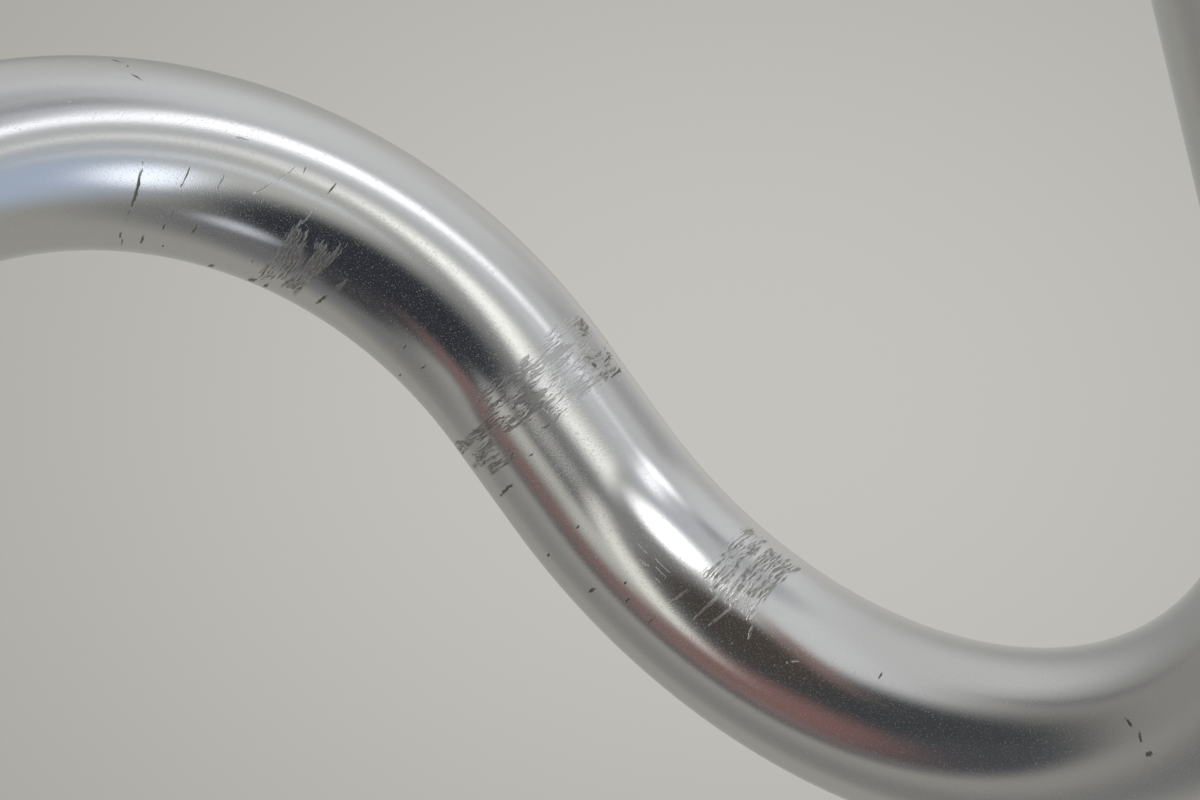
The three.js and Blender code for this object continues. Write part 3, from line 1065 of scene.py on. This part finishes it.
def dark_rubber():
    """The expanders: matt rubber with a pale bloom."""
    material, nodes = new_material("dark rubber")
    place = own_place(nodes)
    bloom = nodes.fade(nodes.noise(place, scale=0.3, detail=4, roughness=0.65), 0.42, 0.7)
    grain = nodes.noise(place, scale=5.0, roughness=0.6)
    colour = nodes.mix_colour(bloom, (0.022, 0.022, 0.023, 1), (0.07, 0.069, 0.066, 1))
    values = {"Base Color": colour, "Roughness": nodes.math("MULTIPLY_ADD", grain, 0.15, 0.62)}
    return finish(nodes, material, values, grain, depth=0.03)


def white_nylon():
    """The wedges: natural nylon, slightly yellow and milky, with drag lines from the rubber."""
    material, nodes = new_material("natural nylon")
    place = own_place(nodes)
    cloud = nodes.noise(place, scale=0.28, detail=3, roughness=0.6)
    drag = nodes.fade(nodes.noise(nodes.stretched(place, 2.5, 0.25, 2.5), roughness=0.6), 0.55, 0.75)
    colour = nodes.mix_colour(cloud, (0.7, 0.68, 0.61, 1), (0.8, 0.79, 0.74, 1))
    colour = nodes.mix_colour(nodes.math("MULTIPLY", drag, 0.3), colour, (0.3, 0.29, 0.27, 1))
    values = {
        "Base Color": colour,
        "Roughness": nodes.math("MULTIPLY_ADD", cloud, 0.15, 0.36),
        "Subsurface Weight": 0.25,
        "Subsurface Scale": 1.2 * MM,
    }
    return finish(nodes, material, values, nodes.math("SUBTRACT", cloud, drag), depth=0.02)


def pale_floor_with_painted_glow():
    """The floor: plain, pale and matt, with a faint glow painted on as light to make it paler."""
    material, nodes = new_material("pale floor with painted glow")
    place = nodes.add("ShaderNodeTexCoord").outputs["Object"]
    cloud = nodes.noise(place, scale=2.0, detail=3, roughness=0.6)
    speckle = nodes.noise(place, scale=400.0, roughness=0.6)
    colour = nodes.mix_colour(cloud, linear((188, 187, 182)), linear((198, 197, 192)))
    values = {
        "Base Color": colour,
        "Roughness": nodes.math("MULTIPLY_ADD", speckle, 0.1, 0.75),
        # The emission is painted light: the floor glows a little so that it is paler than the studio alone
        # lights it.
        "Emission Color": (1, 1, 0.96, 1),
        "Emission Strength": 0.25,
    }
    return finish(nodes, material, values, speckle, depth=0.1)


# ---- the scene ----

bpy.context.scene.view_settings.view_transform = "Standard"
make_camera()
make_studio()
make_floor(pale_floor_with_painted_glow())
make_tube([satin_aluminium(*stretch) for stretch in zip(STRETCH_EDGES, STRETCH_EDGES[1:])])
make_sleeve(polished_aluminium())
plug_materials = {
    "nylon": moulded_nylon(),
    "zinc": zinc_plate(),
    "rubber": dark_rubber(),
    "white": white_nylon(),
}
make_plug("right", plug_materials)
make_plug("left", plug_materials)
